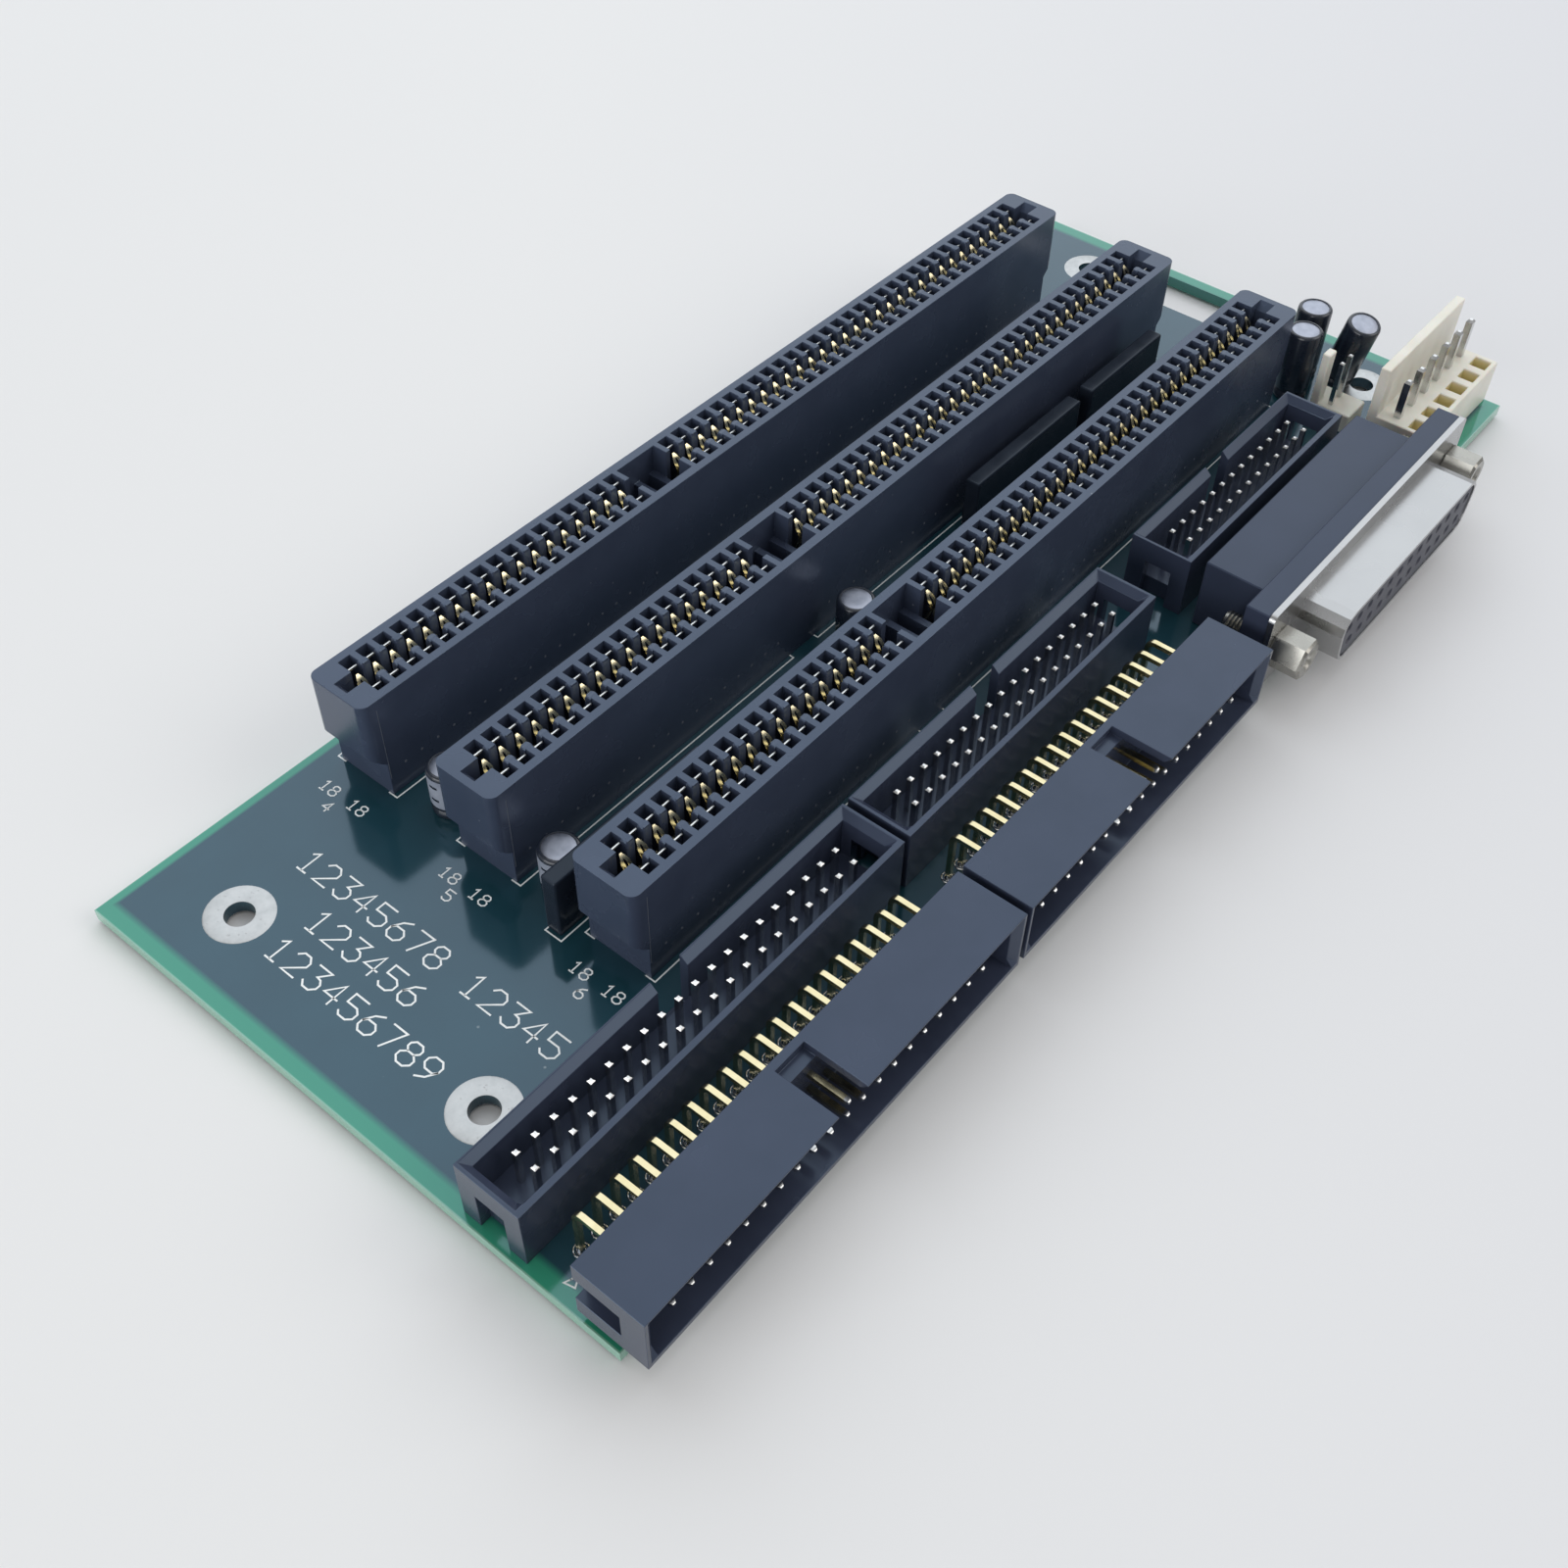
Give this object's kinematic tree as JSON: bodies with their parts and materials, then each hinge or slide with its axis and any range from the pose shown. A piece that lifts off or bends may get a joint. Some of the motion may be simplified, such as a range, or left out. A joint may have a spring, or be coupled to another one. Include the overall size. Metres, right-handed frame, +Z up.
{
  "type": "bus backplane",
  "caption": "Bus backplane board with long card slots, upright and right-angle box headers, a D connector, pale power headers, small capacitors and mounting holes.",
  "frame": {"origin": "centre of the bounding box's footprint, on the board's underside", "axes": "+X along the card slots towards the power header end, +Y across the slots away from the cable connectors, +Z up from the board"},
  "size_m": [0.19, 0.087, 0.0168],
  "materials": {
    "solder_mask": "satin dark green solder mask",
    "black_plastic": "matt moulded",
    "gold_plate": "bright plated",
    "tin_plate": "bright tinned",
    "shell_metal": "bright plated",
    "grey_plastic": "matt moulded",
    "pale_plastic": "matt moulded",
    "can_sleeve": "shrunk sleeve over aluminium",
    "dark_resin": "matt dipped",
    "can_metal": "brushed",
    "white_print": "matt ink"
  },
  "bodies": {
    "root": {"angled_pins_far": "gold_plate", "angled_pins_near": "gold_plate", "angled_shroud_far": "black_plastic", "angled_shroud_near": "black_plastic", "board": "solder_mask", "capacitors": "can_sleeve", "dsub_housing": "black_plastic", "dsub_insert": "grey_plastic", "dsub_shell": "shell_metal", "dsub_standoffs": "shell_metal", "lock_housing": "pale_plastic", "lock_pins": "tin_plate", "power_housing": "pale_plastic", "power_pins": "tin_plate", "resistor_networks": "dark_resin", "slot_contacts_front": "gold_plate", "slot_contacts_middle": "gold_plate", "slot_contacts_rear": "gold_plate", "slot_housing_front": "black_plastic", "slot_housing_middle": "black_plastic", "slot_housing_rear": "black_plastic", "straight_pins_far": "tin_plate", "straight_pins_middle": "tin_plate", "straight_pins_near": "tin_plate", "straight_shroud_far": "black_plastic", "straight_shroud_middle": "black_plastic", "straight_shroud_near": "black_plastic"}
  },
  "joints": []
}
